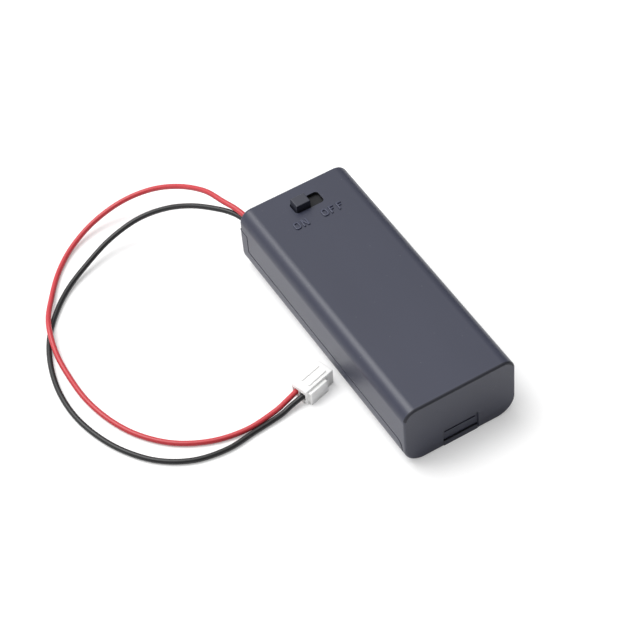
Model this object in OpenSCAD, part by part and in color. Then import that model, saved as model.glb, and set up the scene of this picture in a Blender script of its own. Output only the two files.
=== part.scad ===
// Enclosed battery box for two AAA cells, with a slide switch, a sliding cover and two leads to a small plug.
// Origin: middle of the case's underside. +X points to the latch end, -X to the end where the leads leave,
// -Y to the side nearest the plug, and +Z up to the face with the switch.

/* [Case] */
// Rounding of the two long top edges
top_r = 3.0; // [1.5:0.1:3.4]
// Rounding of the two long bottom edges
bottom_r = 4.5; // [3:0.1:4.8]
// Thickness of the roof that carries the switch window
roof_t = 1.5; // [1.2:0.1:2]
// Thickness of the roof around the switch window
window_t = 0.8; // [0.7:0.1:1.1]
// Thickness of the shell's front wall
front_t = 1.5; // [1.2:0.1:2.2]
// Thickness of the shell's outer side skin
side_t = 1.2; // [1:0.1:1.4]
// Thickness of the guide walls inside the side skins
guide_t = 0.85; // [0.7:0.05:1]

/* [Cover] */
// Height of the recess over the cover's tongue
recess_z = 5.2; // [4:0.1:6]
// Height of the seam between shell and cover along the sides
seam_z = 6.2; // [5.4:0.1:7]
// Thickness of the cover's floor
floor_t = 1.4; // [1:0.1:1.6]
// Thickness of the cover's end wall
end_t = 1.4; // [1:0.1:1.8]
// Length along X of the cover's raised corner strips
strip_len = 2.8; // [2:0.1:4]
// Play between the cover's sides and the shell's guide walls
cover_gap = 0.15; // [0.1:0.05:0.25]
// Width of the visible seam between the cover and the shell
seam_gap = 0.3; // [0.2:0.05:0.35]
// Radius of the cover's upper front corners
cover_corner_r = 1.8; // [1:0.1:2.4]
// Width of the cover's tongue
tongue_w = 8.2; // [6:0.2:9]

/* [Cells] */
// Length of one cell
cell_len = 44.5; // [43:0.5:46]
// Diameter of one cell
cell_d = 10.5; // [10:0.1:11]
// Play of a cell in its bay
cell_play = 0.2; // [0.1:0.05:0.5]
// Thickness of the rib between the two cells
divider_t = 0.8; // [0.6:0.1:1.2]
// Room along the cell for its two contacts, with the spring pressed
contact_room = 4.8; // [4.2:0.1:6]
// Height of the saddles between a cell and the roof
saddle_room = 2.3; // [1.8:0.1:4]
// Thickness of the wall between cells and switch
partition_t = 1.2; // [0.8:0.1:1.6]
// Clearance between a cell and the cover's floor
cell_lift = 0.5; // [0.3:0.1:1]
// Thickness of the contact sheet
sheet_t = 0.35; // [0.25:0.05:0.5]
// Free length of a contact spring
spring_len = 6.8; // [5:0.2:8]
// Wire diameter of a contact spring
spring_wire = 0.5; // [0.4:0.05:0.6]

/* [Switch] */
// Length of the switch can beyond twice the knob's travel
can_spare = 2.6; // [2.2:0.1:3.6]
// Width of the switch can along X
can_w = 4.4; // [4.2:0.1:5]
// Height of the switch can
can_h = 3.4; // [3.2:0.1:4]
// Travel of the knob from ON to OFF
knob_travel = 3.0; // [2.4:0.1:3.1]
// Length of the knob along Y
knob_len = 3.4; // [2.8:0.1:3.8]
// Width of the knob along X
knob_w = 2.8; // [2.2:0.1:2.9]
// Height of the knob above the roof
knob_rise = 1.8; // [1:0.1:2.2]
// Gap between the knob and the window around it
window_gap = 0.3; // [0.2:0.05:0.35]
// Room between the cover's end wall and the switch's pocket
switch_back_room = 1.3; // [1.2:0.1:3]
// Length of the solder tabs behind the cells' wall
tab_len = 4.2; // [3.4:0.1:5]
// Height of the raised letters
letter_h = 2.1; // [1.6:0.1:2.4]

/* [Leads] */
// Outer diameter of each lead
lead_d = 1.2; // [1:0.1:1.2]
// Length of the plug housing
plug_len = 8.0; // [7.6:0.1:9]
// Width of the plug housing with its side ribs
plug_w = 5.9; // [5.4:0.1:6.4]
// Height of the plug housing with its top ribs
plug_h = 4.5; // [4.2:0.1:5]
// Distance between the two contacts in the plug
plug_pitch = 2.0; // [1.9:0.1:2.2]

/* [Hidden] */

// How far a cut runs past the face it opens
over = 1;
// A flat part stands this far from one that it must not touch
hair = 0.05;

// Sizes that follow from the cells, the switch and the walls
bay_d = cell_d + cell_play;
bay_len = cell_len + contact_room;
wire_room = tab_len + 0.9;
pocket_t = 0.8;
pocket_gap = 0.1;
pocket_w = can_w + 2 * (pocket_gap + pocket_t);
case_len = end_t + switch_back_room + pocket_w + wire_room + partition_t + bay_len + front_t;
case_w = divider_t + 2 * (bay_d + guide_t + cover_gap + side_t);
case_h = floor_t + cell_lift + bay_d + saddle_room + roof_t;

// Places along X
rear_x = -case_len / 2;
front_x = case_len / 2;
front_in_x = front_x - front_t;
end_in_x = rear_x + end_t;
strip_x = rear_x + strip_len;
partition_x = front_in_x - bay_len;
switch_x = end_in_x + switch_back_room + pocket_w / 2;

// Places along Y
half_w = case_w / 2;
skin_in_y = half_w - side_t;
guide_out_y = skin_in_y - cover_gap;
guide_in_y = guide_out_y - guide_t;
cell_y = (divider_t + bay_d) / 2;

// Places along Z
roof_z = case_h - roof_t;
cell_z = floor_t + cell_lift + bay_d / 2;
top_corner_z = case_h - top_r;
guide_low_z = seam_z - 2;
saddle_low_z = cell_z + 2.3;
partition_low_z = floor_t + 2.9;
// The cover's left corner strip stops here, so that the leads pass over it
left_strip_z = top_corner_z - 2.3;
right_strip_z = top_corner_z - seam_gap;

// Rail of the cover in a groove of the shell's guide wall
rail_low_z = seam_z - 1.45;
rail_t = 0.6;
rail_depth = 0.35;

// Depth of the recess over the cover's tongue
recess_depth = 0.4;

// Switch: the can hangs under two ledges of the shell, with the knob's shutter between them
shutter_t = 0.4;
shutter_gap = 0.1;
shutter_low_z = case_h - window_t - shutter_gap - shutter_t;
shutter_w = can_w - 0.8;
can_len = 2 * knob_travel + can_spare;
can_top_z = roof_z - shutter_t - 2 * shutter_gap;
can_low_z = can_top_z - can_h;
can_t = 0.3;
base_t = 0.8;
window_len = knob_len + knob_travel + 2 * window_gap;
window_w = knob_w + 2 * window_gap;
window_y = 0.4;
window_r = 0.8;
knob_on_y = window_y - knob_travel / 2;
shutter_half = window_len / 2 + 0.2 + knob_travel / 2;
pocket_drop = 1.8;
ledge_w = 0.25;
terminal_t = 0.4;
terminal_w = 1.1;
terminal_drop = 3.0;
pad_t = 0.2;
pad_half = (can_len / 2 - can_t - knob_travel) * 0.55;
slider_len = can_len - 2 * can_t - knob_travel - 0.5;
solder_z = can_low_z - 1.8;
common_y = window_y;
on_y = common_y - knob_travel;
off_y = common_y + knob_travel;

// Solder joints and the tabs of the contacts
solder_r = 0.85;
// A wire meets its solder drop on a flat face this far from the drop's middle
solder_flat = 0.6;
tab_w = 2.4;
tab_z = cell_z + 4.75;
tab_x = partition_x - partition_t - tab_len + sheet_t;
dimple_h = 0.8;
plate_w = 0.8 * bay_d;
plate_low_z = cell_z - 2.65;
plate_high_z = tab_z;
bridge_low_z = cell_z - 1.75;
bridge_high_z = cell_z + 4.35;
spring_r = 3.2;
spring_tip_r = 2.2;

// Places where the leads leave the case, and the plug on the table
exit_y = -half_w + 2.1;
black_exit_z = left_strip_z + lead_d / 2 + 0.35;
red_exit_z = black_exit_z + lead_d + 0.15;
// The leads and the plug move with the corner that the leads leave from
lead_shift = [rear_x + 33, 13.3 - half_w, 0];
plug_origin = lead_shift + [6.3, -22.6, 0];
plug_turn = 105;
plug_axis_z = 2.0;
seat_depth = 0.8;

// Routes of the two leads from the case to the plug
red_route = [
    [-36.8, -11.9, 13.3], [-40.5, -13.0, 13.0], [-46.5, -14.5, 12.0],
    [-53.0, -17.6, 9.5], [-58.0, -22.3, 6.9], [-60.7, -28.7, 4.4], [-60.6, -36.0, 2.3],
    [-58.0, -42.8, 1.0], [-53.5, -48.5, 0.6], [-47.5, -53.3, 0.9], [-40.7, -57.4, 1.9],
    [-33.2, -59.6, 1.1], [-25.8, -60.2, 0.6], [-18.2, -60.0, 0.6], [-10.6, -58.3, 0.6],
    [-3.8, -55.1, 0.6], [2.0, -50.0, 0.6], [5.8, -43.3, 0.6], [7.4, -36.0, 0.8], [7.0, -29.2, 1.3],
    [6.2, -25.6, 1.7]];
black_route = [
    [-36.5, -12.3, 12.05], [-39.9, -14.3, 11.8], [-45.4, -18.2, 10.4],
    [-50.0, -22.8, 8.2], [-52.8, -28.6, 5.8], [-53.0, -35.6, 3.5], [-51.0, -42.4, 1.8],
    [-47.8, -49.0, 0.8], [-43.2, -54.4, 0.6], [-37.6, -58.9, 0.6], [-31.0, -62.0, 0.6],
    [-23.6, -63.8, 0.6], [-16.0, -64.0, 0.6], [-8.7, -62.5, 0.6], [-2.0, -59.6, 0.6],
    [4.0, -55.0, 0.6], [8.0, -48.8, 0.6], [9.4, -41.6, 0.6], [8.7, -34.8, 0.6], [8.1, -28.4, 0.8],
    [7.5, -25.2, 1.3]];

// Routes of their tails and of the jumper inside the case, from their ends' places
tab_end_z = tab_z - sheet_t / 2;
red_tail_route = [
    [rear_x, exit_y, red_exit_z], [rear_x + 2.6, exit_y, red_exit_z - 0.05],
    [switch_x - 2.4, exit_y + 1.3, solder_z + 3.5], [switch_x - 1.5, exit_y + 2.8, solder_z + 1.8],
    [switch_x - 0.6, exit_y + 4.6, solder_z + 0.4], [switch_x, on_y - 2.7, solder_z],
    [switch_x, on_y - solder_flat, solder_z]];
black_tail_route = [
    [rear_x, exit_y, black_exit_z], [rear_x + 1.8, exit_y, black_exit_z - 0.15],
    [rear_x + 3.5, exit_y + 0.9, black_exit_z - 1.1], [rear_x + 5.6, exit_y + 1.8, black_exit_z - 2.2],
    [tab_x - 2.6, -cell_y - 2.2, tab_end_z - 1.5], [tab_x - 1.5, -cell_y - 0.7, tab_end_z - 0.4],
    [tab_x - solder_flat, -cell_y, tab_end_z]];
jumper_route = [
    [tab_x - solder_flat, cell_y, tab_end_z], [tab_x - 1.4, cell_y - 0.4, tab_end_z - 0.5],
    [tab_x - 1.9, cell_y - 1.6, tab_end_z - 1.8], [tab_x - 2.2, common_y + 1.6, solder_z + 0.2],
    [switch_x + 1.6, common_y, solder_z], [switch_x + solder_flat, common_y, solder_z]];

black_plastic = [0.16, 0.165, 0.18];
nickel = [0.78, 0.78, 0.76];
tin = [0.72, 0.72, 0.72];
red_skin = [0.82, 0.12, 0.14];
black_skin = [0.07, 0.07, 0.08];
white_plastic = [0.93, 0.93, 0.9];
tan_board = [0.55, 0.4, 0.22];

// Turns a drawing in Y and Z so that it runs along X from one place to another
module along_x(from, to) {
    translate([from, 0, 0])
        rotate([90, 0, 90])
            linear_extrude(to - from)
                children();
}

// Turns a drawing in X and Z so that it runs along Y from one place to another
module along_y(from, to) {
    translate([0, to, 0])
        rotate([90, 0, 0])
            linear_extrude(to - from)
                children();
}

// A box between two corners
module block(low, high) {
    translate(low)
        cube(high - low);
}

// A rectangle with its four corners rounded
module rounded_rect(size, r) {
    square([size[0] - 2 * r, size[1]], center = true);
    square([size[0], size[1] - 2 * r], center = true);
    for (sx = [-1, 1], sy = [-1, 1])
        translate([sx * (size[0] / 2 - r), sy * (size[1] / 2 - r)])
            circle(r, $fn = 48);
}

// Outline of the case across its length, in Y and Z
module case_section() {
    translate([-half_w, bottom_r])
        square([case_w, case_h - bottom_r - top_r]);
    translate([-(half_w - bottom_r), 0])
        square([case_w - 2 * bottom_r, case_h]);
    translate([-(half_w - top_r), bottom_r])
        square([case_w - 2 * top_r, case_h - bottom_r]);
    for (side = [-1, 1]) {
        translate([side * (half_w - bottom_r), bottom_r])
            circle(bottom_r, $fn = 64);
        translate([side * (half_w - top_r), top_corner_z])
            circle(top_r, $fn = 64);
    }
}

// Hollow of the cover across its length, in Y and Z, open at the top
module cover_hollow_section() {
    inner_r = bottom_r - side_t;
    translate([-skin_in_y, floor_t + inner_r])
        square([2 * skin_in_y, case_h]);
    translate([-(skin_in_y - inner_r), floor_t])
        square([2 * (skin_in_y - inner_r), case_h]);
    for (side = [-1, 1])
        translate([side * (skin_in_y - inner_r), floor_t + inner_r])
            circle(inner_r, $fn = 64);
}

// Side view of the cover's lip and of a corner strip of the given height, in X and Z, grown by a gap
module cover_side(gap, strip_z = right_strip_z) {
    lip_front = front_in_x + gap;
    lip_top = seam_z + gap;
    translate([rear_x - over, -over])
        square([lip_front - cover_corner_r - rear_x + over, lip_top + over]);
    translate([rear_x - over, -over])
        square([lip_front - rear_x + over, lip_top - cover_corner_r + over]);
    translate([lip_front - cover_corner_r, lip_top - cover_corner_r])
        circle(cover_corner_r, $fn = 48);
    translate([rear_x - over, -over])
        square([strip_len + over + gap, strip_z + gap + over]);
}

// Points of a curve through the given points, with each stretch cut into a number of steps
function spline_point(a, b, c, d, t) =
    0.5 * (2 * b + (c - a) * t + (2 * a - 5 * b + 4 * c - d) * t * t + (3 * b - a - 3 * c + d) * t * t * t);
function spline(p, steps) = [
    for (i = [0 : len(p) - 2], k = [0 : steps - 1])
        spline_point(p[max(i - 1, 0)], p[i], p[i + 1], p[min(i + 2, len(p) - 1)], k / steps),
    p[len(p) - 1]];
function unit(v) = v / norm(v);
function along(p, i) = unit(p[i + 1] - p[i - 1]);

// A round tube along a line of points, none of whose stretches runs the way of up; it is cut square
// to the two directions in ends
module tube(p, r, sides, up, ends) {
    rings = [
        for (i = [0 : len(p) - 1])
            let (t = i == 0 ? ends[0] : i == len(p) - 1 ? ends[1] : along(p, i),
                u = unit(cross(t, up)), v = cross(u, t))
                for (k = [0 : sides - 1])
                    p[i] + r * (cos(360 * k / sides) * u + sin(360 * k / sides) * v)];
    last = (len(p) - 1) * sides;
    skin = [
        for (i = [0 : len(p) - 2], k = [0 : sides - 1])
            let (a = i * sides + k, b = i * sides + (k + 1) % sides)
                each [[a, b, b + sides], [a, b + sides, a + sides]]];
    ends = [[for (k = [sides - 1 : -1 : 0]) k], [for (k = [0 : sides - 1]) last + k]];
    polyhedron(rings, concat(skin, ends));
}

// Where a lead ends inside the plug: on its contact's axis, at the depth where the crimp begins
function lead_seat(side) =
    plug_origin + seat_depth * [cos(plug_turn), sin(plug_turn), 0]
    + side * plug_pitch / 2 * [-sin(plug_turn), cos(plug_turn), 0] + [0, 0, plug_axis_z];

// Letters made of bars, drawn from the lower left corner
stroke = 0.4;
module letter_o(w, h) {
    difference() {
        translate([w / 2, h / 2])
            rounded_rect([w, h], w * 0.42);
        translate([w / 2, h / 2])
            rounded_rect([w - 2 * stroke, h - 2 * stroke], (w - 2 * stroke) * 0.42);
    }
}
module letter_n(w, h) {
    square([stroke, h]);
    translate([w - stroke, 0])
        square([stroke, h]);
    polygon([[0, h], [stroke * 1.2, h], [w, 0], [w - stroke * 1.2, 0]]);
}
module letter_f(w, h) {
    square([stroke, h]);
    translate([0, h - stroke])
        square([w, stroke]);
    translate([0, h * 0.48])
        square([w * 0.8, stroke]);
}

// The words ON and OFF, standing on the roof beside the two ends of the window
module switch_words() {
    letter_w = letter_h * 0.72;
    step = letter_w + 0.4;
    relief = 0.25;
    base_x = switch_x + window_w / 2 + 2.0 + letter_h;
    translate([base_x, window_y - 5.9, case_h - 0.1])
        rotate([0, 0, 90])
            linear_extrude(relief + 0.1) {
                letter_o(letter_w, letter_h);
                translate([step, 0])
                    letter_n(letter_w, letter_h);
            }
    translate([base_x, window_y + 0.95, case_h - 0.1])
        rotate([0, 0, 90])
            linear_extrude(relief + 0.1) {
                letter_o(letter_w, letter_h);
                for (k = [1, 2])
                    translate([k * step, 0])
                        letter_f(letter_w * 0.85, letter_h);
            }
}

// Everything of the shell that stands inside its outer skin
module shell_inside() {
    // Guide walls behind the cover's lips, with the groove for its rail
    for (side = [-1, 1])
        difference() {
            block([end_in_x + cover_gap, side < 0 ? -guide_out_y : guide_in_y, guide_low_z],
                [front_in_x + 0.2, side < 0 ? -guide_in_y : guide_out_y, roof_z + 0.2]);
            groove_depth = rail_depth + 0.1 - cover_gap + 0.15;
            block([rear_x - over, side < 0 ? -guide_out_y - over : guide_out_y - groove_depth, rail_low_z - 0.15],
                [front_in_x, side < 0 ? -guide_out_y + groove_depth : guide_out_y + over, rail_low_z + rail_t + 0.15]);
        }
    // Roots that join the guide walls to the side skins above the seam
    for (side = [-1, 1])
        block([strip_x + seam_gap, side < 0 ? -skin_in_y - 0.2 : guide_out_y - 0.2, seam_z + seam_gap],
            [front_in_x + 0.2, side < 0 ? -guide_out_y + 0.2 : skin_in_y + 0.2, roof_z + 0.2]);
    // Rib between the cells
    block([partition_x - 0.2, -divider_t / 2, partition_low_z + 0.7],
        [front_in_x - sheet_t - 0.1, divider_t / 2, roof_z + 0.2]);
    // Wall between cells and switch, with slots for the two contact tabs
    difference() {
        block([partition_x - partition_t, -guide_in_y - 0.2, partition_low_z],
            [partition_x, guide_in_y + 0.2, roof_z + 0.2]);
        for (side = [-1, 1])
            block([partition_x - partition_t - over, side * cell_y - tab_w / 2 - 0.1, tab_z - sheet_t - 0.1],
                [partition_x + over, side * cell_y + tab_w / 2 + 0.1, tab_z + 0.1]);
    }
    // Saddles that the cells lie against
    saddle_t = 1.6;
    difference() {
        for (share = [0.28, 0.52, 0.76])
            block([partition_x + share * bay_len, -guide_in_y - 0.2, saddle_low_z],
                [partition_x + share * bay_len + saddle_t, guide_in_y + 0.2, roof_z + 0.2]);
        for (side = [-1, 1])
            translate([partition_x - over, side * cell_y, cell_z])
                rotate([0, 90, 0])
                    cylinder(h = bay_len + 2 * over, r = bay_d / 2, $fn = 96);
    }
    // Keepers that hold the bridge plate against the front wall
    for (side = [-1, 1])
        block([front_in_x - sheet_t - 1.2, side < 0 ? -guide_in_y - 0.2 : guide_in_y - 1.2, bridge_low_z],
            [front_in_x - sheet_t - hair, side < 0 ? -guide_in_y + 1.2 : guide_in_y + 0.2, roof_z + 0.2]);
    // Keepers that hold the two end contacts against the partition
    for (side = [-1, 1])
        block([partition_x + sheet_t + hair, side < 0 ? -guide_in_y - 0.2 : guide_in_y - 1.2, plate_low_z + 1],
            [partition_x + sheet_t + 1.2, side < 0 ? -guide_in_y + 1.2 : guide_in_y + 0.2, roof_z + 0.2]);
    // Pocket for the switch can: two ribs, each with a ledge that the can's top rests against
    for (side = [-1, 1]) {
        inner = can_w / 2 + pocket_gap;
        block([switch_x + (side < 0 ? -inner - pocket_t : inner), window_y - can_len * 0.4, can_top_z - pocket_drop],
            [switch_x + (side < 0 ? -inner : inner + pocket_t), window_y + can_len * 0.4, roof_z + 0.2]);
        block([switch_x + (side < 0 ? -inner - 0.1 : inner - ledge_w), window_y - can_len * 0.4, can_top_z],
            [switch_x + (side < 0 ? -inner + ledge_w : inner + 0.1), window_y + can_len * 0.4, roof_z + 0.2]);
    }
}

module upper_shell() {
    color(black_plastic)
        difference() {
            union() {
                difference() {
                    along_x(rear_x, front_x)
                        case_section();
                    // Hollow, open below and at the rear
                    block([rear_x - over, -skin_in_y, -over], [front_in_x, skin_in_y, top_corner_z]);
                    block([rear_x - over, -guide_in_y, -over], [front_in_x, guide_in_y, roof_z]);
                    // Room for the cover's lips and corner strips
                    along_y(-half_w - over, 0)
                        cover_side(seam_gap, left_strip_z);
                    along_y(-over, half_w + over)
                        cover_side(seam_gap);
                }
                shell_inside();
                switch_words();
            }
            // Pocket in the roof's underside that the knob's shutter slides in, and the window for the knob
            block([switch_x - shutter_w / 2 - 0.15, window_y - shutter_half - knob_travel / 2 - 0.15, roof_z - over],
                [switch_x + shutter_w / 2 + 0.15, window_y + shutter_half + knob_travel / 2 + 0.15,
                    case_h - window_t]);
            translate([switch_x, window_y, roof_z - over])
                linear_extrude(roof_t + 2 * over)
                    rounded_rect([window_w, window_len], window_r);
            // Passage for the leads at the rear left corner
            block([rear_x - over, exit_y - lead_d / 2 - 0.25, left_strip_z - 0.7],
                [rear_x + 4.2, -guide_in_y + 0.3, roof_z - 0.2]);
            // Slot for the cover's tongue, and over it a shallow recess with a groove for a fingernail
            block([front_in_x - over, -tongue_w / 2 - cover_gap, -over],
                [front_x + over, tongue_w / 2 + cover_gap, floor_t + cover_gap]);
            block([front_x - recess_depth, -tongue_w / 2 - cover_gap, 0],
                [front_x + over, tongue_w / 2 + cover_gap, recess_z]);
            block([front_x - 0.9, -tongue_w / 2 + 0.4, recess_z - 1.4],
                [front_x + over, tongue_w / 2 - 0.4, recess_z - 1.0]);
        }
}

module slide_cover() {
    color(black_plastic)
        union() {
            difference() {
                intersection() {
                    along_x(rear_x, front_in_x)
                        case_section();
                    union() {
                        along_y(-half_w, half_w)
                            cover_side(0);
                        block([rear_x, -guide_in_y + cover_gap, 0], [end_in_x, guide_in_y - cover_gap, roof_z - cover_gap]);
                    }
                }
                along_x(end_in_x, front_x)
                    cover_hollow_section();
                // Notch for the leads, open at the top and at the left
                block([rear_x - over, -half_w - over, left_strip_z],
                    [strip_x + over, exit_y + lead_d / 2 + 0.4, case_h]);
                // Grip lines on the underside, and an arrow that points the way the cover slides off
                for (k = [0 : 4])
                    block([19 + 2 * k, -6, -over], [19.9 + 2 * k, 6, 0.4]);
                translate([0, 0, -over])
                    linear_extrude(over + 0.4)
                        polygon([[4, 0], [10, 3.5], [10, 1.2], [15, 1.2], [15, -1.2], [10, -1.2], [10, -3.5]]);
            }
            // Rails that run in the shell's grooves
            for (side = [-1, 1])
                block([end_in_x + 2.5, side < 0 ? -skin_in_y - 0.2 : skin_in_y - rail_depth, rail_low_z],
                    [front_in_x - 2, side < 0 ? -skin_in_y + rail_depth : skin_in_y + 0.2, rail_low_z + rail_t]);
            // Tongue that closes the slot in the front wall
            block([front_in_x - 2, -tongue_w / 2, 0], [front_x - hair, tongue_w / 2, floor_t]);
        }
}

// Wire wound into a cone, standing on a plate at x = 0 and reaching along +X
module coil_spring() {
    turns = 4.5;
    per_turn = 14;
    count = turns * per_turn;
    spring_end = 360 * turns;
    tube([
        for (i = [0 : count])
            let (share = i / count, r = spring_r + (spring_tip_r - spring_r) * share,
                x = spring_wire / 2 + (spring_len - spring_wire) * pow(share, 1.15))
                [x, r * cos(360 * i / per_turn), r * sin(360 * i / per_turn)]],
        spring_wire / 2, 6, [1, 0, 0], [[0, 0, 1], [0, -sin(spring_end), cos(spring_end)]]);
}

// Sheet contact on the partition, with a tab through its slot; the plate faces +X
module end_contact() {
    block([0, -plate_w / 2, plate_low_z], [sheet_t, plate_w / 2, plate_high_z - sheet_t]);
    block([tab_x - partition_x, -tab_w / 2, tab_z - sheet_t], [sheet_t, tab_w / 2, tab_z]);
}

module negative_contact() {
    color(nickel)
        translate([partition_x, -cell_y, 0])
            end_contact();
}

module negative_spring() {
    color(nickel)
        translate([partition_x + sheet_t, -cell_y, cell_z])
            coil_spring();
}

module positive_contact() {
    color(nickel)
        translate([partition_x, cell_y, 0]) {
            end_contact();
            translate([0.1, 0, cell_z])
                rotate([0, 90, 0])
                    cylinder(h = sheet_t + dimple_h - 0.1, r1 = 2.6, r2 = 1.6, $fn = 48);
        }
}

module bridge_contact() {
    color(nickel)
        translate([front_in_x - sheet_t, 0, 0]) {
            block([0, -guide_in_y + 0.4, bridge_low_z], [sheet_t, guide_in_y - 0.4, bridge_high_z]);
            translate([sheet_t - 0.1, -cell_y, cell_z])
                rotate([0, -90, 0])
                    cylinder(h = sheet_t + dimple_h - 0.1, r1 = 2.6, r2 = 1.6, $fn = 48);
        }
}

module bridge_spring() {
    color(nickel)
        translate([front_in_x - sheet_t, cell_y, cell_z])
            rotate([0, 0, 180])
                coil_spring();
}

module switch_can() {
    slot_len = knob_len - 0.6 + knob_travel + 0.4;
    color(nickel)
        translate([switch_x, window_y, 0])
            difference() {
                block([-can_w / 2, -can_len / 2, can_low_z], [can_w / 2, can_len / 2, can_top_z]);
                block([-can_w / 2 + can_t, -can_len / 2 + can_t, can_low_z - over],
                    [can_w / 2 - can_t, can_len / 2 - can_t, can_top_z - can_t]);
                block([-0.9, -slot_len / 2, can_top_z - over], [0.9, slot_len / 2, can_top_z + over]);
                for (side = [-1, 1])
                    block([-can_w / 2 - over, side * can_len * 0.28 - 0.5, can_low_z - over],
                        [can_w / 2 + over, side * can_len * 0.28 + 0.5, can_low_z + 0.9]);
            }
}

module switch_base() {
    color(tan_board)
        difference() {
            block([switch_x - can_w / 2 + can_t, window_y - can_len / 2 + can_t, can_low_z],
                [switch_x + can_w / 2 - can_t, window_y + can_len / 2 - can_t, can_low_z + base_t]);
            for (y = [on_y, common_y, off_y])
                block([switch_x - terminal_w / 2, y - terminal_t / 2, can_low_z - over],
                    [switch_x + terminal_w / 2, y + terminal_t / 2, can_low_z + base_t + over]);
        }
}

// One switch terminal: a blade through the base with a contact pad on top
module terminal(y) {
    color(nickel)
        translate([switch_x, y, 0]) {
            block([-terminal_w / 2, -terminal_t / 2, can_low_z - terminal_drop],
                [terminal_w / 2, terminal_t / 2, can_low_z + base_t + 0.1]);
            block([-0.9, -pad_half, can_low_z + base_t], [0.9, pad_half, can_low_z + base_t + pad_t]);
        }
}
module terminal_on() { terminal(on_y); }
module terminal_common() { terminal(common_y); }
module terminal_off() { terminal(off_y); }

module switch_knob() {
    slider_low_z = can_low_z + base_t + pad_t + 0.75;
    color(black_plastic)
        translate([switch_x, knob_on_y, 0]) {
            block([-knob_w / 2, -knob_len / 2, shutter_low_z], [knob_w / 2, knob_len / 2, case_h + knob_rise]);
            block([-shutter_w / 2, -shutter_half, shutter_low_z],
                [shutter_w / 2, shutter_half, shutter_low_z + shutter_t]);
            block([-0.75, -knob_len / 2 + 0.3, slider_low_z + 0.2], [0.75, knob_len / 2 - 0.3, shutter_low_z + 0.1]);
            block([-can_w / 2 + can_t + 0.15, -slider_len / 2, slider_low_z],
                [can_w / 2 - can_t - 0.15, slider_len / 2, can_top_z - can_t - 0.1]);
        }
}

// Bent strip under the knob's slider that joins two neighbouring terminals
module switch_wiper() {
    low_z = can_low_z + base_t + pad_t + hair;
    high_z = can_low_z + base_t + pad_t + 0.75;
    foot = knob_travel / 2;
    color(nickel)
        translate([switch_x, knob_on_y, 0])
            along_x(-0.7, 0.7)
                polygon([
                    [-foot - 0.4, low_z + 0.35], [-foot, low_z], [-foot + 0.4, low_z + 0.25], [-0.8, high_z - 0.15],
                    [0.8, high_z - 0.15], [foot - 0.4, low_z + 0.25], [foot, low_z], [foot + 0.4, low_z + 0.35],
                    [foot + 0.3, low_z + 0.5], [foot, low_z + 0.2], [1.0, high_z], [-1.0, high_z],
                    [-foot, low_z + 0.2], [-foot - 0.3, low_z + 0.5]]);
}

// Insulated wire inside the case
module inner_wire(route, ends) {
    tube(spline(route, 3), lead_d / 2, 8, [0, 0, 1], ends);
}

module red_tail() { color(red_skin) inner_wire(red_tail_route, [[1, 0, 0], [0, 1, 0]]); }
module black_tail() { color(black_skin) inner_wire(black_tail_route, [[1, 0, 0], [1, 0, 0]]); }
module jumper_wire() { color(red_skin) inner_wire(jumper_route, [[-1, 0, 0], [-1, 0, 0]]); }

// A drop of solder round a blade or a tab; the wire meets it on the flat that faces the way of turn
module solder_drop(turn) {
    rotate([0, 0, turn])
        difference() {
            sphere(solder_r, $fn = 32);
            block([solder_flat, -1, -1], [2, 1, 1]);
        }
}
module solder_on_blade(y, turn) {
    color(tin)
        difference() {
            translate([switch_x, y, solder_z])
                solder_drop(turn);
            block([switch_x - terminal_w / 2, y - terminal_t / 2, solder_z - 2],
                [switch_x + terminal_w / 2, y + terminal_t / 2, solder_z + 2]);
        }
}
module solder_on() { solder_on_blade(on_y, -90); }
module solder_common() { solder_on_blade(common_y, 0); }

module solder_on_tab(side) {
    color(tin)
        difference() {
            translate([tab_x, side * cell_y, tab_end_z])
                solder_drop(180);
            block([tab_x, side * cell_y - tab_w / 2, tab_z - sheet_t], [tab_x + 2, side * cell_y + tab_w / 2, tab_z]);
        }
}
module solder_positive() { solder_on_tab(1); }
module solder_negative() { solder_on_tab(-1); }

// Lead from the case's corner to the plug
module lead(side, exit_z, route) {
    whole = concat([[rear_x, exit_y, exit_z]], [for (p = route) p + lead_shift], [lead_seat(side)]);
    // The table holds the lead up, so no point of its middle line lies lower than its own radius
    line = [for (p = spline(whole, 2)) [p[0], p[1], max(p[2], lead_d / 2)]];
    tube(line, lead_d / 2, 8, [0, 0, 1], [[-1, 0, 0], [cos(plug_turn), sin(plug_turn), 0]]);
}
module red_lead() { color(red_skin) lead(1, red_exit_z, red_route); }
module black_lead() { color(black_skin) lead(-1, black_exit_z, black_route); }

// Moves what is drawn along +X from the plug's wire end to the plug's place on the table
module on_plug() {
    translate(plug_origin)
        rotate([0, 0, plug_turn])
            children();
}

module plug_housing() {
    cavity_w = 1.6;
    cavity_h = 1.9;
    body_w = plug_w - 1.6;
    body_h = plug_h - 0.3;
    color(white_plastic)
        on_plug()
            difference() {
                union() {
                    block([0, -body_w / 2, 0], [plug_len, body_w / 2, body_h]);
                    block([0.6, -plug_w / 2, 0], [plug_len - 2.4, plug_w / 2, body_h - 0.6]);
                    for (side = [-1, 1])
                        block([1.6, side * plug_pitch / 2 - 0.45, body_h - 0.2],
                            [plug_len - 1.2, side * plug_pitch / 2 + 0.45, plug_h]);
                }
                for (side = [-1, 1]) {
                    y = side * plug_pitch / 2;
                    block([-over, y - cavity_w / 2, plug_axis_z - cavity_h / 2],
                        [plug_len - 1, y + cavity_w / 2, plug_axis_z + cavity_h / 2]);
                    block([plug_len - 2, y - 0.45, plug_axis_z - 0.45], [plug_len + over, y + 0.45, plug_axis_z + 0.45]);
                    block([2.6, y - 0.4, -over], [4.6, y + 0.4, plug_axis_z]);
                }
            }
}

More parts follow.
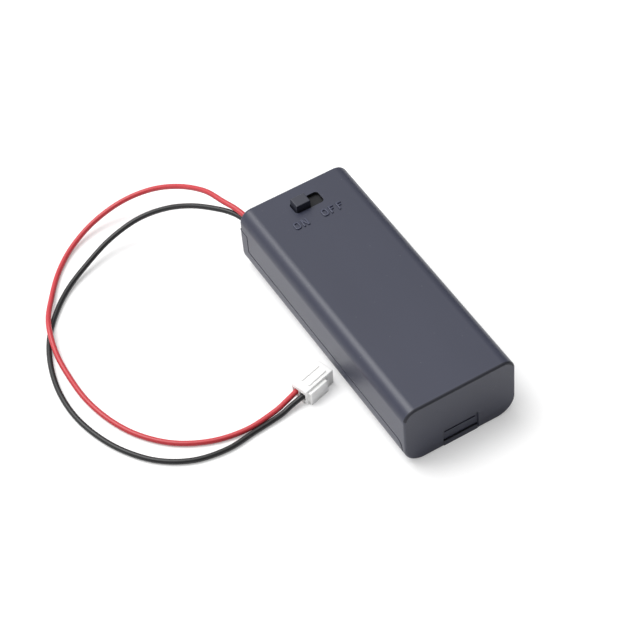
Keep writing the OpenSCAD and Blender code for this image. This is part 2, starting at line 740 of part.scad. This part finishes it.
// Crimped contact in one cavity of the plug
module crimp(side) {
    color(nickel)
        on_plug()
            translate([seat_depth, side * plug_pitch / 2, plug_axis_z])
                difference() {
                    union() {
                        rotate([0, 90, 0])
                            cylinder(h = 1.4, r = 0.7, $fn = 24);
                        block([1.3, -0.45, -0.45], [3.0, 0.45, 0.35]);
                        block([2.9, -0.65, -0.75], [plug_len - seat_depth - 1.1, 0.65, 0.75]);
                    }
                    block([3.4, -0.4, -0.5], [plug_len, 0.4, 0.5]);
                }
}
module red_crimp() { crimp(1); }
module black_crimp() { crimp(-1); }

upper_shell();
slide_cover();
negative_contact();
negative_spring();
positive_contact();
bridge_contact();
bridge_spring();
switch_can();
switch_base();
terminal_on();
terminal_common();
terminal_off();
switch_knob();
switch_wiper();
jumper_wire();
red_tail();
black_tail();
solder_on();
solder_common();
solder_positive();
solder_negative();
red_lead();
black_lead();
plug_housing();
red_crimp();
black_crimp();
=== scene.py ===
import math

import bmesh
import bpy
from mathutils import Matrix, Vector


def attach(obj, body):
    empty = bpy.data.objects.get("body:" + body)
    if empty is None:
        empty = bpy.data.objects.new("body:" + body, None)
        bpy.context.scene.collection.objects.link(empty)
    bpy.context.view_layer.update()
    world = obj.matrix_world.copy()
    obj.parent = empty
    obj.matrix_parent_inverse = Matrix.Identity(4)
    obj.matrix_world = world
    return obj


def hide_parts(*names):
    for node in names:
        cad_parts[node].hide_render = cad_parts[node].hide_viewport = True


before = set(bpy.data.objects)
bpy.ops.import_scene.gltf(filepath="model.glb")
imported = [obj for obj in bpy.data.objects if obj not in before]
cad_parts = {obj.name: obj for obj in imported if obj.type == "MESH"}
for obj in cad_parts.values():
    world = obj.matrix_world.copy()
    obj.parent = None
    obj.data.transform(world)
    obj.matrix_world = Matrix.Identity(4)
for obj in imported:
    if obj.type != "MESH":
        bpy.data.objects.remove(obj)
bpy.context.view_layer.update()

# Lengths are in millimetres, and MM turns them into the scene's metres. The lamp, the floor and the
# camera's clipping are in metres.
MM = 0.001

# The case's outer form: half its length and width, its height, and its roundings along X
CASE_END_X = 33.0
CASE_SIDE_Y = 13.3
CASE_TOP_Z = 16.4
TOP_RADIUS = 3.0
BOTTOM_RADIUS = 4.5


# Camera

def place_camera():
    """The photo's view: a long lens from the plug's side, half way up."""
    data = bpy.data.cameras.new("photo_camera")
    data.lens = 132.2
    data.sensor_width = 36.0
    data.clip_end = 20.0
    camera = bpy.data.objects.new("photo_camera", data)
    right = Vector((0.51512, 0.85479, -0.06321))
    up = Vector((-0.63716, 0.43121, 0.63882))
    back = Vector((0.57331, -0.28879, 0.76676))
    place = Matrix((right, up, back)).transposed().to_4x4()
    place.translation = Vector((278.13, -153.01, 385.17)) * MM
    camera.matrix_world = place
    bpy.context.collection.objects.link(camera)
    bpy.context.scene.camera = camera


# Lines that wires follow

def curve_through(points, steps):
    """A smooth line through the points, with each stretch cut into steps."""
    last = len(points) - 1
    line = []
    for i in range(last):
        a, b = points[max(i - 1, 0)], points[i]
        c, d = points[i + 1], points[min(i + 2, last)]
        for k in range(steps):
            t = k / steps
            line.append(0.5 * (2 * b + (c - a) * t + (2 * a - 5 * b + 4 * c - d) * t * t
                               + (3 * b - a - 3 * c + d) * t * t * t))
    line.append(points[last])
    return line


def held_up(line, radius):
    """The line lifted where it would sink into the table."""
    return [Vector((p.x, p.y, max(p.z, radius))) for p in line]


# Node trees

class Tree:
    """A node tree under construction; any node comes from make()."""

    def __init__(self, tree):
        self.tree = tree

    def make(self, kind, settings=None, sockets=None, out=0):
        """A node of that kind, its settings first, then its sockets; returns one of its outputs."""
        node = self.tree.nodes.new(kind)
        for name, value in (settings or {}).items():
            setattr(node, name, value)
        for name, value in (sockets or {}).items():
            self.feed(node.inputs[name], value)
        return Value(self, node.outputs[out])

    def feed(self, socket, value):
        if isinstance(value, Value):
            self.tree.links.new(value.socket, socket)
        else:
            socket.default_value = value


class Value:
    """A socket that takes part in Python expressions; each operator adds a Math node."""

    def __init__(self, tree, socket):
        self.tree = tree
        self.socket = socket

    def math(self, operation, first, second):
        return self.tree.make("ShaderNodeMath", {"operation": operation}, {0: first, 1: second})

    def __add__(self, other):
        return self.math("ADD", self, other)

    def __radd__(self, other):
        return self.math("ADD", other, self)

    def __sub__(self, other):
        return self.math("SUBTRACT", self, other)

    def __rsub__(self, other):
        return self.math("SUBTRACT", other, self)

    def __mul__(self, other):
        return self.math("MULTIPLY", self, other)

    def __rmul__(self, other):
        return self.math("MULTIPLY", other, self)


# Finishes

class Finish(Tree):
    """A material with one Principled shader; constants sit on its own sockets."""

    def __init__(self, name, **constants):
        self.material = bpy.data.materials.new(name)
        self.material.use_nodes = True
        super().__init__(self.material.node_tree)
        self.tree.nodes.clear()
        self.shader = self.tree.nodes.new("ShaderNodeBsdfPrincipled")
        output = self.tree.nodes.new("ShaderNodeOutputMaterial")
        self.tree.links.new(self.shader.outputs[0], output.inputs[0])
        for key, value in constants.items():
            self.shader.inputs[key.replace("_", " ")].default_value = value
        self.place = self.make("ShaderNodeTexCoord", out="Object")

    def noise(self, size, detail=2.0, stretch=(1, 1, 1)):
        """Soft noise from 0 to 1 whose patches are about size millimetres across."""
        point = self.make("ShaderNodeMapping", {}, {"Vector": self.place, "Scale": stretch})
        return self.make("ShaderNodeTexNoise", {}, {"Vector": point, "Scale": 1 / (size * MM), "Detail": detail})

    def specks(self, size, share):
        """1 in small round specks and 0 between them."""
        far = self.make("ShaderNodeTexVoronoi", {}, {"Vector": self.place, "Scale": 1 / (size * MM)}, "Distance")
        return self.span(far, share, share * 0.6, 0.0, 1.0)

    def span(self, value, low, high, to_low, to_high):
        """Maps low..high to to_low..to_high, and holds it there outside."""
        return self.make("ShaderNodeMapRange", {"clamp": True}, {
            "Value": value, "From Min": low, "From Max": high, "To Min": to_low, "To Max": to_high})

    def blend(self, share, first, second):
        """A colour between two colours."""
        node = self.tree.nodes.new("ShaderNodeMix")
        node.data_type = "RGBA"
        self.feed(node.inputs[0], share)
        self.feed(node.inputs[6], first if isinstance(first, Value) else (*first, 1))
        self.feed(node.inputs[7], second if isinstance(second, Value) else (*second, 1))
        return Value(self, node.outputs[2])

    def set(self, name, value):
        self.feed(self.shader.inputs[name], value)

    def relief(self, height, depth, strength=1.0):
        """Bump from a height of 0 to 1, depth millimetres deep."""
        self.set("Normal", self.make("ShaderNodeBump", {}, {
            "Height": height, "Distance": depth * MM, "Strength": strength}))


def times(tone, factor):
    """A colour made paler or darker."""
    return [min(c * factor, 1) for c in tone]


def moulded_black(name, tone, roughness, grain, raised_from=99.0):
    """Black ABS with the fine grain of an etched mould and faint flow marks. What stands higher than
    raised_from gets a painted highlight, and faces marked with painted shade are painted darker and duller."""
    f = Finish(name, IOR=1.5)
    flow = f.noise(14, 3.0, (0.35, 1, 1))
    fine = f.noise(grain, 2.0)
    dust = f.specks(2.6, 0.045)
    height = f.make("ShaderNodeSeparateXYZ", {}, {"Vector": f.place}, "Z")
    painted_highlight = f.span(height, (raised_from - 0.05) * MM, raised_from * MM, 0.0, 1.0)
    painted_shade = f.make("ShaderNodeAttribute", {"attribute_name": "painted_shade"}, out="Fac")
    shade = f.blend(flow, times(tone, 0.9), times(tone, 1.12))
    # The tops of the raised words are painted paler: a painted highlight
    shade = f.blend(painted_highlight, shade, times(tone, 1.45))
    # Seams, slots, the hollow and a line on the roof's front edge are painted dark: painted shade
    shade = f.blend(painted_shade, shade, times(tone, 0.12))
    f.set("Base Color", f.blend(dust * 0.25, shade, (0.22, 0.22, 0.22)))
    f.set("Roughness", roughness - 0.04 + flow * 0.06 + fine * 0.05 + painted_shade * 0.3)
    f.relief(fine, 0.012, 0.55)
    return f.material


def soft_skin(name, tone, roughness):
    """Smooth PVC insulation, slightly uneven from drawing and handling."""
    f = Finish(name, IOR=1.5)
    bands = f.noise(3.0, 2.0)
    fine = f.noise(0.25, 2.0)
    f.set("Base Color", f.blend(bands, times(tone, 0.9), times(tone, 1.08)))
    f.set("Roughness", roughness + bands * 0.1)
    f.relief(bands * 0.7 + fine * 0.3, 0.02, 0.5)
    return f.material


def white_nylon(name):
    """Natural nylon: warm white and waxy, with faint clouds, and light that spreads inside it."""
    f = Finish(name, IOR=1.53, Subsurface_Weight=0.5, Subsurface_Scale=2 * MM,
               Subsurface_Radius=(1, 1, 1))
    cloud = f.noise(1.6, 3.0)
    fine = f.noise(0.12, 2.0)
    f.set("Base Color", f.blend(cloud, (0.90, 0.90, 0.875), (0.955, 0.955, 0.94)))
    f.set("Roughness", 0.36 + cloud * 0.12)
    f.relief(fine, 0.004, 0.3)
    return f.material


def plated(name, tone, roughness, size=0.8):
    """Plated sheet or wire with a rolled, slightly cloudy face."""
    f = Finish(name, Metallic=1.0)
    cloud = f.noise(size, 3.0)
    lines = f.noise(0.08, 2.0, (0.05, 1, 1))
    f.set("Base Color", f.blend(cloud, times(tone, 0.86), tone))
    f.set("Roughness", roughness + cloud * 0.12 + lines * 0.06)
    f.relief(lines, 0.004, 0.4)
    return f.material


def soldered(name):
    """Solder: bright with dull frosted patches and a little flux."""
    f = Finish(name, Metallic=1.0)
    frost = f.noise(0.35, 3.0)
    f.set("Base Color", f.blend(frost, (0.5, 0.5, 0.5), (0.72, 0.72, 0.73)))
    f.set("Roughness", 0.2 + frost * 0.25)
    f.relief(frost, 0.02, 0.6)
    return f.material


def phenolic(name):
    """Brown laminated paper board."""
    f = Finish(name, IOR=1.5)
    fibre = f.noise(0.15, 3.0, (0.2, 1, 1))
    f.set("Base Color", f.blend(fibre, (0.26, 0.14, 0.05), (0.42, 0.26, 0.12)))
    f.set("Roughness", 0.45 + fibre * 0.2)
    f.relief(fibre, 0.01, 0.5)
    return f.material


# The words on the roof stand higher than this, and their tops get a painted highlight
WORDS_Z = CASE_TOP_Z + 0.1

case_black = moulded_black("case_black", (0.0275, 0.0305, 0.053), 0.36, 0.22, raised_from=WORDS_Z)
knob_black = moulded_black("knob_black", (0.024, 0.026, 0.04), 0.44, 0.2)
red_skin = soft_skin("red_skin", (0.50, 0.035, 0.045), 0.32)
black_skin = soft_skin("black_skin", (0.008, 0.008, 0.009), 0.36)
nylon = white_nylon("plug_nylon")
nickel = plated("contact_nickel", (0.75, 0.73, 0.68), 0.18)
steel = plated("can_steel", (0.62, 0.62, 0.61), 0.26)
silvered = plated("terminal_brass", (0.78, 0.70, 0.50), 0.22)
tin = plated("crimp_tin", (0.80, 0.79, 0.76), 0.2, 0.5)
solder = soldered("solder")
board = phenolic("switch_board")


# Shapes

def kept_mesh(maker, name, body, nodes, material):
    """Turns an object with modifiers into one plain mesh that rides on a body for its CAD nodes."""
    depsgraph = bpy.context.evaluated_depsgraph_get()
    mesh = bpy.data.meshes.new_from_object(maker.evaluated_get(depsgraph))
    bpy.data.objects.remove(maker)
    mesh.name = name
    mesh.materials.clear()
    mesh.materials.append(material)
    piece = bpy.data.objects.new(name, mesh)
    bpy.context.collection.objects.link(piece)
    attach(piece, body)
    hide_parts(*nodes)
    return piece


def geometry_tree(name, inputs):
    """A Geometry Nodes tree with named inputs; returns it and the group's input sockets."""
    group = bpy.data.node_groups.new(name, "GeometryNodeTree")
    group.interface.new_socket("Geometry", in_out="INPUT", socket_type="NodeSocketGeometry")
    for label, kind in inputs:
        group.interface.new_socket(label, in_out="INPUT", socket_type=kind)
    group.interface.new_socket("Geometry", in_out="OUTPUT", socket_type="NodeSocketGeometry")
    tree = Tree(group)
    entry = group.nodes.new("NodeGroupInput")
    given = {s.name: Value(tree, s) for s in entry.outputs if s.name}
    return tree, given


def close_tree(tree, shape, material):
    """Ends a tree in Realize Instances and Set Material."""
    real = tree.make("GeometryNodeRealizeInstances", {}, {"Geometry": shape})
    done = tree.make("GeometryNodeSetMaterial", {}, {"Geometry": real, "Material": material})
    end = tree.tree.nodes.new("NodeGroupOutput")
    tree.feed(end.inputs[0], done)


def round_wire(tree, line, radius, sides):
    """A round tube with closed ends along a curve."""
    ring = tree.make("GeometryNodeCurvePrimitiveCircle", {}, {"Resolution": sides, "Radius": radius})
    tube = tree.make("GeometryNodeCurveToMesh", {}, {"Curve": line, "Profile Curve": ring, "Fill Caps": True})
    return tree.make("GeometryNodeSetShadeSmooth", {}, {"Geometry": tube})


def wire_tree():
    """Insulated wire along the input's edges."""
    tree, given = geometry_tree("wire_along_route", [
        ("Radius", "NodeSocketFloat"), ("Sides", "NodeSocketInt"), ("Material", "NodeSocketMaterial")])
    line = tree.make("GeometryNodeMeshToCurve", {}, {"Mesh": given["Geometry"]})
    close_tree(tree, round_wire(tree, line, given["Radius"], given["Sides"]), given["Material"])
    return tree.tree


def spring_tree():
    """A conical spring that stands on the input's place and reaches along X."""
    tree, given = geometry_tree("wound_spring", [
        ("Turns", "NodeSocketFloat"), ("Base Radius", "NodeSocketFloat"), ("Tip Radius", "NodeSocketFloat"),
        ("Height", "NodeSocketFloat"), ("Wire Radius", "NodeSocketFloat"), ("Place", "NodeSocketVector"),
        ("Turn", "NodeSocketVector"), ("Material", "NodeSocketMaterial")])
    coil = tree.make("GeometryNodeCurveSpiral", {}, {
        "Resolution": 28, "Rotations": given["Turns"], "Start Radius": given["Base Radius"],
        "End Radius": given["Tip Radius"], "Height": given["Height"]})
    placed = tree.make("GeometryNodeTransform", {}, {
        "Geometry": coil, "Translation": given["Place"], "Rotation": given["Turn"]})
    close_tree(tree, round_wire(tree, placed, given["Wire Radius"], 10), given["Material"])
    return tree.tree


def with_tree(name, mesh, tree, values):
    """An object whose mesh goes through a Geometry Nodes tree with these named inputs."""
    maker = bpy.data.objects.new(name + "_maker", mesh)
    bpy.context.collection.objects.link(maker)
    modifier = maker.modifiers.new("nodes", "NODES")
    modifier.node_group = tree
    sockets = {item.name: item.identifier for item in tree.interface.items_tree if item.in_out == "INPUT"}
    for label, value in values.items():
        modifier[sockets[label]] = value
    return maker


def line_mesh(name, line):
    mesh = bpy.data.meshes.new(name)
    mesh.from_pydata([list(p * MM) for p in line], [(i, i + 1) for i in range(len(line) - 1)], [])
    return mesh


wires = wire_tree()
springs = spring_tree()

place_camera()

# Leads, the places where they leave the case, and the plug on the table
LEAD_RADIUS = 0.6
RED_EXIT = (-CASE_END_X, -11.2, 13.4)
BLACK_EXIT = (-CASE_END_X, -11.2, 12.05)
PLUG_ORIGIN = Vector((6.3, -22.6, 0.0))
PLUG_TURN = math.radians(105)
PLUG_AXIS_Z = 2.0
CRIMP_DEPTH = 0.8
HALF_PITCH = 1.0
PLUG_AXIS = Vector((math.cos(PLUG_TURN), math.sin(PLUG_TURN), 0))
PLUG_SIDE = Vector((-math.sin(PLUG_TURN), math.cos(PLUG_TURN), 0))


def crimp_place(side):
    """Where a lead ends in the plug; side is 1 for the red one and -1 for the black one."""
    return (PLUG_ORIGIN + PLUG_AXIS * CRIMP_DEPTH + PLUG_SIDE * side * HALF_PITCH
            + Vector((0, 0, PLUG_AXIS_Z)))


RED_ROUTE = [
    RED_EXIT, (-36.8, -11.9, 13.3), (-40.5, -13.0, 13.0), (-46.5, -14.5, 12.0),
    (-53.0, -17.6, 9.5), (-58.0, -22.3, 6.9), (-60.7, -28.7, 4.4), (-60.6, -36.0, 2.3),
    (-58.0, -42.8, 1.0), (-53.5, -48.5, 0.6), (-47.5, -53.3, 0.9), (-40.7, -57.4, 1.9),
    (-33.2, -59.6, 1.1), (-25.8, -60.2, 0.6), (-18.2, -60.0, 0.6), (-10.6, -58.3, 0.6),
    (-3.8, -55.1, 0.6), (2.0, -50.0, 0.6), (5.8, -43.3, 0.6), (7.4, -36.0, 0.8),
    (7.0, -29.2, 1.3), (6.2, -25.6, 1.7), crimp_place(1)]
BLACK_ROUTE = [
    BLACK_EXIT, (-36.5, -12.3, 12.05), (-39.9, -14.3, 11.8), (-45.4, -18.2, 10.4),
    (-50.0, -22.8, 8.2), (-52.8, -28.6, 5.8), (-53.0, -35.6, 3.5), (-51.0, -42.4, 1.8),
    (-47.8, -49.0, 0.8), (-43.2, -54.4, 0.6), (-37.6, -58.9, 0.6), (-31.0, -62.0, 0.6),
    (-23.6, -63.8, 0.6), (-16.0, -64.0, 0.6), (-8.7, -62.5, 0.6), (-2.0, -59.6, 0.6),
    (4.0, -55.0, 0.6), (8.0, -48.8, 0.6), (9.4, -41.6, 0.6), (8.7, -34.8, 0.6),
    (8.1, -28.4, 0.8), (7.5, -25.2, 1.3), crimp_place(-1)]


def lead(name, route, node, skin):
    """One free lead; returns its piece and its middle line."""
    line = held_up(curve_through([Vector(p) for p in route], 6), LEAD_RADIUS)
    maker = with_tree(name, line_mesh(name, line), wires,
                      {"Radius": LEAD_RADIUS * MM, "Sides": 20, "Material": skin})
    piece = kept_mesh(maker, name, "case", [node], skin)
    return piece, line


# Depth below the case's outer form

def depth_in(y, z):
    """How far a place across the case lies inside its rounded outline."""
    middle = CASE_TOP_Z / 2
    radius = TOP_RADIUS if z > middle else BOTTOM_RADIUS
    out_y = abs(y) - (CASE_SIDE_Y - radius)
    out_z = abs(z - middle) - (middle - radius)
    if out_y > 0 and out_z > 0:
        return radius - math.hypot(out_y, out_z)
    return radius - max(out_y, out_z)


# The painted shade that draws a dark line on the rounding along the roof's front edge: how wide it is, and how
# low it reaches
EDGE_LINE = 0.6
EDGE_LINE_LOW_Z = 14.2
# What is nearer than this to the front end is its flat face
ON_FACE = 0.001
# The recess over the tongue, in the front end, is no deeper than this
RECESS_REACH = 1.1
# What lies deeper than this is in a seam, a slot or the hollow, and gets painted shade
SKIN_DEPTH = 0.3


def painted_shade_at(p):
    """Painted shade: 1 in seams, slots and the hollow, part of it on the roof's front edge as a painted
    dark line, and 0 on what shows from outside."""
    to_outline = depth_in(p.y, p.z)
    to_front = CASE_END_X - p.x
    if ON_FACE < to_front < EDGE_LINE and p.z > EDGE_LINE_LOW_Z and to_outline < EDGE_LINE:
        return 0.7
    if to_front < RECESS_REACH:
        return 0.0
    return 1.0 if min(to_outline, CASE_END_X - abs(p.x)) > SKIN_DEPTH else 0.0


def on_outline(a, b):
    """True for an edge that runs along the case's outer form."""
    return max(depth_in(a.y, a.z), depth_in(b.y, b.z)) < 0.05


def on_end(a, b, x):
    """True for an edge in the plane at x."""
    return max(abs(a.x - x), abs(b.x - x)) < 0.02


# Pieces from the CAD solids, with the small roundings of real mouldings and stampings

ROUNDED_FROM = math.radians(34)
SHARP_FROM = math.radians(32)


def rounded_copy(node, name, body, material, size_of):
    """A copy of a CAD node whose sharp convex edges are rounded; size_of(a, b) gives the rounding of
    the edge from a to b. Each face gets its painted shade, for the material to read."""
    maker = bpy.data.objects.new(name + "_maker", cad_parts[node].data.copy())
    bpy.context.collection.objects.link(maker)
    bm = bmesh.new()
    bm.from_mesh(maker.data)
    bmesh.ops.remove_doubles(bm, verts=bm.verts, dist=2e-6)
    bmesh.ops.dissolve_limit(bm, angle_limit=math.radians(0.6), verts=bm.verts, edges=bm.edges)
    bm.normal_update()
    weight = bm.edges.layers.float.new("bevel_weight_edge")
    widest = 0.0
    for edge in bm.edges:
        if not edge.is_manifold or not edge.is_convex:
            continue
        if edge.calc_face_angle(0) < ROUNDED_FROM:
            continue
        size = size_of(edge.verts[0].co / MM, edge.verts[1].co / MM)
        edge[weight] = size
        widest = max(widest, size)
    for edge in bm.edges:
        edge[weight] = edge[weight] / widest if widest else 0.0
    for face in bm.faces:
        face.smooth = True
    bm.to_mesh(maker.data)
    bm.free()
    if widest:
        bevel = maker.modifiers.new("edges", "BEVEL")
        bevel.limit_method = "WEIGHT"
        bevel.width = widest * MM
        bevel.segments = 3
        bevel.use_clamp_overlap = False
    depsgraph = bpy.context.evaluated_depsgraph_get()
    rounded = bpy.data.meshes.new_from_object(maker.evaluated_get(depsgraph))
    rounded.set_sharp_from_angle(angle=SHARP_FROM)
    maker.modifiers.clear()
    maker.data = rounded
    # Large faces keep their own direction, so that they shade flat up to the roundings
    maker.modifiers.new("even_shading", "WEIGHTED_NORMAL").keep_sharp = True
    piece = kept_mesh(maker, name, body, [node], material)
    # Each face's painted shade, which the material paints darker
    painted_shade = piece.data.attributes.new("painted_shade", "FLOAT", "FACE")
    for face, value in zip(piece.data.polygons, painted_shade.data):
        value.value = painted_shade_at(face.center / MM)
    return piece


BROKEN_EDGE = 0.06


def shell_edges(a, b):
    """The shell's outer end edges are well rounded, its other edges only broken."""
    lowest = min(a.z, b.z)
    above_cover_strip = lowest > 11.3
    if on_outline(a, b) and on_end(a, b, CASE_END_X):
        return 0.5
    if on_outline(a, b) and on_end(a, b, -CASE_END_X) and above_cover_strip:
        return 0.85
    return 0.1 if lowest > CASE_TOP_Z + 0.05 else BROKEN_EDGE


def cover_edges(a, b):
    """The cover's outer rear edges are rounded, except in the notch for the leads."""
    below_notch = max(a.z, b.z) < 10.9
    at_side = min(abs(a.y), abs(b.y)) > 12.5
    return 0.45 if on_end(a, b, -CASE_END_X) and (below_notch or at_side) else BROKEN_EDGE


def knob_edges(a, b):
    """The knob is rounded where it stands in the window and above it."""
    in_window = min(a.z, b.z) > 15.7
    return 0.22 if in_window else BROKEN_EDGE


def fine_edges(size):
    """The same small rounding on every edge."""
    return lambda a, b: size


rounded_copy("upper_shell", "case_shell", "case", case_black, shell_edges)
rounded_copy("slide_cover", "battery_cover", "cover", case_black, cover_edges)
rounded_copy("switch_knob", "knob", "switch", knob_black, knob_edges)
for node, slot, material, size in [
        ("negative_contact", "nickel", nickel, 0.05),
        ("positive_contact", "nickel", nickel, 0.05),
        ("bridge_contact", "nickel", nickel, 0.05),
        ("switch_can", "steel", steel, 0.06),
        ("switch_base", "board", board, 0.04),
        ("terminal_on", "brass", silvered, 0.04),
        ("terminal_common", "brass", silvered, 0.04),
        ("terminal_off", "brass", silvered, 0.04)]:
    rounded_copy(node, node + "_part", "case", material, fine_edges(size))
rounded_copy("switch_wiper", "wiper_part", "switch", silvered, fine_edges(0.02))
for node in ["solder_on", "solder_common", "solder_positive", "solder_negative"]:
    rounded_copy(node, node + "_drop", "case", solder, fine_edges(0.08))

plug = rounded_copy("plug_housing", "plug_shell", "case", nylon, fine_edges(0.12))
red_pin = rounded_copy("red_crimp", "red_crimp_part", "case", tin, fine_edges(0.05))
black_pin = rounded_copy("black_crimp", "black_crimp_part", "case", tin, fine_edges(0.05))

red_wire, red_line = lead("red_wire", RED_ROUTE, "red_lead", red_skin)
black_wire, black_line = lead("black_wire", BLACK_ROUTE, "black_lead", black_skin)

# Wires inside the case
TAB_END_Z = 11.825
SOLDER_Z = 9.1
RED_TAIL = [
    RED_EXIT, (-30.4, -11.2, 13.35), (-29.6, -9.9, 12.6), (-28.7, -8.4, 10.9),
    (-27.8, -6.6, 9.5), (-27.2, -5.3, SOLDER_Z), (-27.2, -3.2, SOLDER_Z)]
BLACK_TAIL = [
    BLACK_EXIT, (-31.2, -11.2, 11.9), (-29.5, -10.3, 10.95), (-27.4, -9.4, 9.85),
    (-25.45, -7.95, 10.325), (-24.35, -6.45, 11.425), (-23.45, -5.75, TAB_END_Z)]
JUMPER = [
    (-23.45, 5.75, TAB_END_Z), (-24.25, 5.35, 11.325), (-24.75, 4.15, 10.025), (-25.05, 2.0, 9.3),
    (-25.6, 0.4, SOLDER_Z), (-26.6, 0.4, SOLDER_Z)]
for node, route, slot, skin in [
        ("red_tail", RED_TAIL, "red_skin", red_skin),
        ("black_tail", BLACK_TAIL, "black_skin", black_skin),
        ("jumper_wire", JUMPER, "red_skin", red_skin)]:
    line = curve_through([Vector(p) for p in route], 5)
    maker = with_tree(node, line_mesh(node, line), wires,
                      {"Radius": LEAD_RADIUS * MM, "Sides": 16, "Material": skin})
    kept_mesh(maker, node + "_wire", "case", [node], skin)

# Contact springs, each on its contact plate at plate_x, reaching the way of toward along X
CELL_Y = 5.75
CELL_Z = 7.25
SPRING_WIRE_RADIUS = 0.25
for node, plate_x, y, toward in [("negative_spring", -17.45, -CELL_Y, 1), ("bridge_spring", 31.15, CELL_Y, -1)]:
    first_turn = Vector((plate_x + toward * SPRING_WIRE_RADIUS, y, CELL_Z))
    maker = with_tree(node, bpy.data.meshes.new(node), springs, {
        "Turns": 4.5, "Base Radius": 3.2 * MM, "Tip Radius": 2.2 * MM, "Height": 6.3 * MM,
        "Wire Radius": SPRING_WIRE_RADIUS * MM, "Place": tuple(first_turn * MM),
        "Turn": (0.0, toward * math.pi / 2, 0.0), "Material": nickel})
    kept_mesh(maker, node + "_coil", "case", [node], nickel)


# Floor and light

def lay_floor():
    """A white table that runs on past the picture. The camera sees it glow a little, so that it is as
    white as the background and still keeps the object's shadow."""
    bm = bmesh.new()
    bmesh.ops.create_grid(bm, x_segments=1, y_segments=1, size=3.0)
    mesh = bpy.data.meshes.new("table_top")
    bm.to_mesh(mesh)
    bm.free()
    floor = bpy.data.objects.new("table_top", mesh)
    bpy.context.collection.objects.link(floor)
    floor.location.z = -0.00002
    material = bpy.data.materials.new("table_white")
    material.use_nodes = True
    tree = Tree(material.node_tree)
    tree.tree.nodes.clear()
    paint = tree.make("ShaderNodeBsdfDiffuse", {}, {"Color": (0.93, 0.93, 0.935, 1)})
    bright = tree.make("ShaderNodeBsdfDiffuse", {}, {"Color": (1, 1, 1, 1)})
    glow = tree.make("ShaderNodeEmission", {}, {"Color": (1, 1, 1, 1), "Strength": 1.0})
    shown = tree.make("ShaderNodeMixShader", {}, {0: 0.3, 1: bright, 2: glow})
    ray = tree.tree.nodes.new("ShaderNodeLightPath")
    seen = Value(tree, ray.outputs["Is Camera Ray"])
    chosen = tree.make("ShaderNodeMixShader", {}, {0: seen, 1: paint, 2: shown})
    output = tree.tree.nodes.new("ShaderNodeOutputMaterial")
    tree.feed(output.inputs[0], chosen)
    mesh.materials.append(material)


def light_world(strength):
    """Soft light that is strongest from above, the rear and the plug's side; the camera sees white."""
    world = bpy.data.worlds.new("studio")
    bpy.context.scene.world = world
    world.use_nodes = True
    tree = Tree(world.node_tree)
    tree.tree.nodes.clear()
    ray = tree.tree.nodes.new("ShaderNodeLightPath")
    way = tree.make("ShaderNodeTexCoord", out="Generated")
    toward_x = tree.make("ShaderNodeSeparateXYZ", {}, {"Vector": way}, "X")
    toward_y = tree.make("ShaderNodeSeparateXYZ", {}, {"Vector": way}, "Y")
    toward_z = tree.make("ShaderNodeSeparateXYZ", {}, {"Vector": way}, "Z")
    level = tree.make("ShaderNodeMapRange", {"clamp": True}, {
        "Value": toward_z - 0.55 * toward_x - 0.3 * toward_y, "From Min": 0.2, "From Max": 0.95,
        "To Min": 0.1 * strength, "To Max": 1.1 * strength})
    lamp = tree.make("ShaderNodeBackground", {}, {"Color": (1, 1, 1, 1), "Strength": level})
    white = tree.make("ShaderNodeBackground", {}, {"Color": (1, 1, 1, 1), "Strength": 1.0})
    seen = Value(tree, ray.outputs["Is Camera Ray"])
    chosen = tree.make("ShaderNodeMixShader", {}, {0: seen, 1: lamp, 2: white})
    output = tree.tree.nodes.new("ShaderNodeOutputWorld")
    tree.feed(output.inputs[0], chosen)


def softbox(name, place, target, size, watts):
    """A square soft lamp at place that faces target, both in metres."""
    data = bpy.data.lights.new(name, "AREA")
    data.shape = "SQUARE"
    data.size = size
    data.energy = watts
    lamp = bpy.data.objects.new(name, data)
    bpy.context.collection.objects.link(lamp)
    lamp.location = place
    lamp.rotation_euler = (Vector(target) - Vector(place)).to_track_quat("-Z", "Y").to_euler()


lay_floor()
light_world(strength=0.95)
softbox("key_box", place=(-0.42, -0.34, 1.13), target=(0.0, 0.0, 0.0), size=0.9, watts=14.0)

scene = bpy.context.scene
scene.view_settings.view_transform = "Standard"
